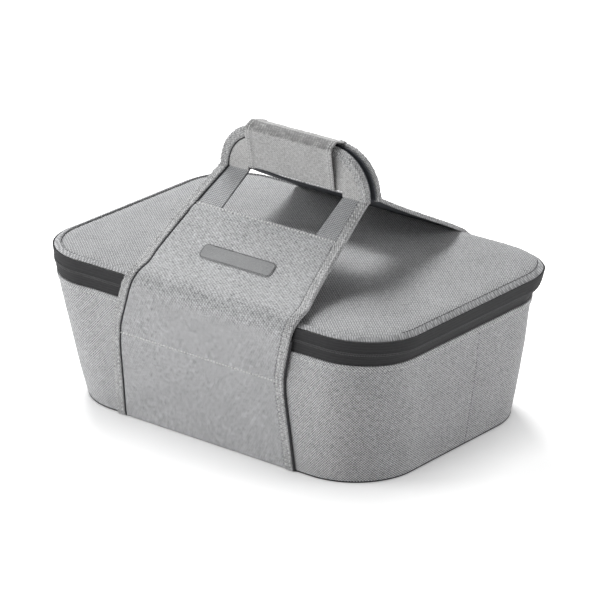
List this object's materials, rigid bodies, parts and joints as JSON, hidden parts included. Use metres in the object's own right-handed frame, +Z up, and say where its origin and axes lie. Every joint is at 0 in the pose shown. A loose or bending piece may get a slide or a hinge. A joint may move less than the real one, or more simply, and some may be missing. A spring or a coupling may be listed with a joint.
{
  "type": "casserole carrier",
  "caption": "Padded fabric tub with a zipped hinged lid and two strap panels that meet in a wrapped hand grip above it.",
  "frame": {"origin": "middle of the base at the underside, where the tub stands", "axes": "+X along the length, -Y towards the front strap panel, +Z up"},
  "size_m": [0.455, 0.3256, 0.2911],
  "materials": {
    "carrier_cloth": "matte",
    "strap_cloth": "matte",
    "edge_binding": "matte",
    "zip_tape": "matte",
    "zip_coil": "satin",
    "slate_lining": "matte",
    "foam": "matte",
    "board": "matte",
    "dark_metal": "satin",
    "woven_label": "matte"
  },
  "bodies": {
    "root": {"base_piping": "zip_tape", "base_fabric": "carrier_cloth", "base_board": "board", "base_foam": "foam", "front_wall_fabric": "carrier_cloth", "rear_wall_fabric": "carrier_cloth", "front_wall_foam": "foam", "rear_wall_foam": "foam", "left_end_foam": "foam", "right_end_foam": "foam", "inner_lining": "slate_lining", "rim_binding": "zip_tape", "lower_zip_tape": "zip_tape", "hinge_gusset": "carrier_cloth", "lower_zip_coil": "zip_coil", "zip_stop_left": "dark_metal", "zip_stop_right": "dark_metal", "front_strap_lower": "strap_cloth", "rear_strap_lower": "strap_cloth", "front_strap_lower_binding_left": "edge_binding", "rear_strap_lower_binding_left": "edge_binding", "front_strap_lower_binding_right": "edge_binding", "rear_strap_lower_binding_right": "edge_binding"},
    "lid": {"lid_fabric": "carrier_cloth", "lid_border": "carrier_cloth", "lid_foam": "foam", "lid_lining": "slate_lining", "lid_binding": "zip_tape", "upper_zip_tape": "zip_tape", "upper_zip_coil": "zip_coil", "lid_hinge_strip": "carrier_cloth"},
    "front_strap": {"front_strap_fabric": "strap_cloth", "front_strap_lining": "slate_lining", "front_strap_binding_left": "edge_binding", "front_strap_binding_right": "edge_binding", "blank_label": "woven_label"},
    "rear_strap": {"rear_strap_fabric": "strap_cloth", "rear_strap_lining": "slate_lining", "rear_strap_binding_left": "edge_binding", "rear_strap_binding_right": "edge_binding"},
    "front_handle": {"front_handle_fabric": "strap_cloth", "front_handle_core": "board", "front_handle_lining": "slate_lining", "front_handle_binding": "edge_binding", "grip_wrap": "strap_cloth", "grip_pad": "foam", "loop_strip": "zip_tape"},
    "rear_handle": {"rear_handle_fabric": "strap_cloth", "rear_handle_core": "board", "rear_handle_lining": "slate_lining", "rear_handle_binding": "edge_binding"},
    "grip_flap": {"grip_flap": "strap_cloth", "hook_strip": "zip_tape"},
    "zip_slider": {"zip_slider": "dark_metal"},
    "zip_pull": {"zip_pull": "dark_metal"}
  },
  "joints": [
    {"name": "front_strap_fold", "type": "hinge", "parent": "root", "child": "front_strap", "pos_m": [0, -0.153, 0.095], "axis": [1, 0, 0], "range_deg": [0, 145], "deforming": ["front_strap_fabric", "front_strap_lining", "front_strap_binding_left", "front_strap_binding_right", "blank_label"]},
    {"name": "rear_strap_fold", "type": "hinge", "parent": "root", "child": "rear_strap", "pos_m": [0, 0.153, 0.095], "axis": [-1, 0, 0], "range_deg": [0, 145], "deforming": ["rear_strap_fabric", "rear_strap_lining", "rear_strap_binding_left", "rear_strap_binding_right"]},
    {"name": "front_handle_fold", "type": "hinge", "parent": "front_strap", "child": "front_handle", "pos_m": [0, -0.0101, 0.2372], "axis": [-1, 0, 0], "range_deg": [0, 57]},
    {"name": "rear_handle_fold", "type": "hinge", "parent": "rear_strap", "child": "rear_handle", "pos_m": [0, 0.0101, 0.2372], "axis": [1, 0, 0], "range_deg": [0, 57]},
    {"name": "grip_flap_open", "type": "hinge", "parent": "front_handle", "child": "grip_flap", "pos_m": [0, 0, 0.2913], "axis": [1, 0, 0], "range_deg": [0, 160], "deforming": ["grip_flap", "hook_strip"]},
    {"name": "lid_open", "type": "hinge", "parent": "root", "child": "lid", "pos_m": [0, 0.1562, 0.1465], "axis": [-1, 0, 0], "range_deg": [0, 98]},
    {"name": "zip_slide", "type": "slide", "parent": "root", "child": "zip_slider", "axis": [0, -1, 0], "range_m": [0, 0.145]},
    {"name": "pull_swing", "type": "hinge", "parent": "zip_slider", "child": "zip_pull", "pos_m": [-0.22745, 0.066, 0.1465], "axis": [0, 1, 0], "range_deg": [0, 150]}
  ],
  "couplings": [
    {"joint": "rear_strap_fold", "follows": "front_strap_fold", "ratio": 1},
    {"joint": "front_handle_fold", "follows": "front_strap_fold", "ratio": 0.393},
    {"joint": "rear_handle_fold", "follows": "front_strap_fold", "ratio": 0.393},
    {"joint": "grip_flap_open", "follows": "front_strap_fold", "ratio": 1.1033},
    {"joint": "lid_open", "follows": "front_strap_fold", "ratio": 0.6758}
  ]
}
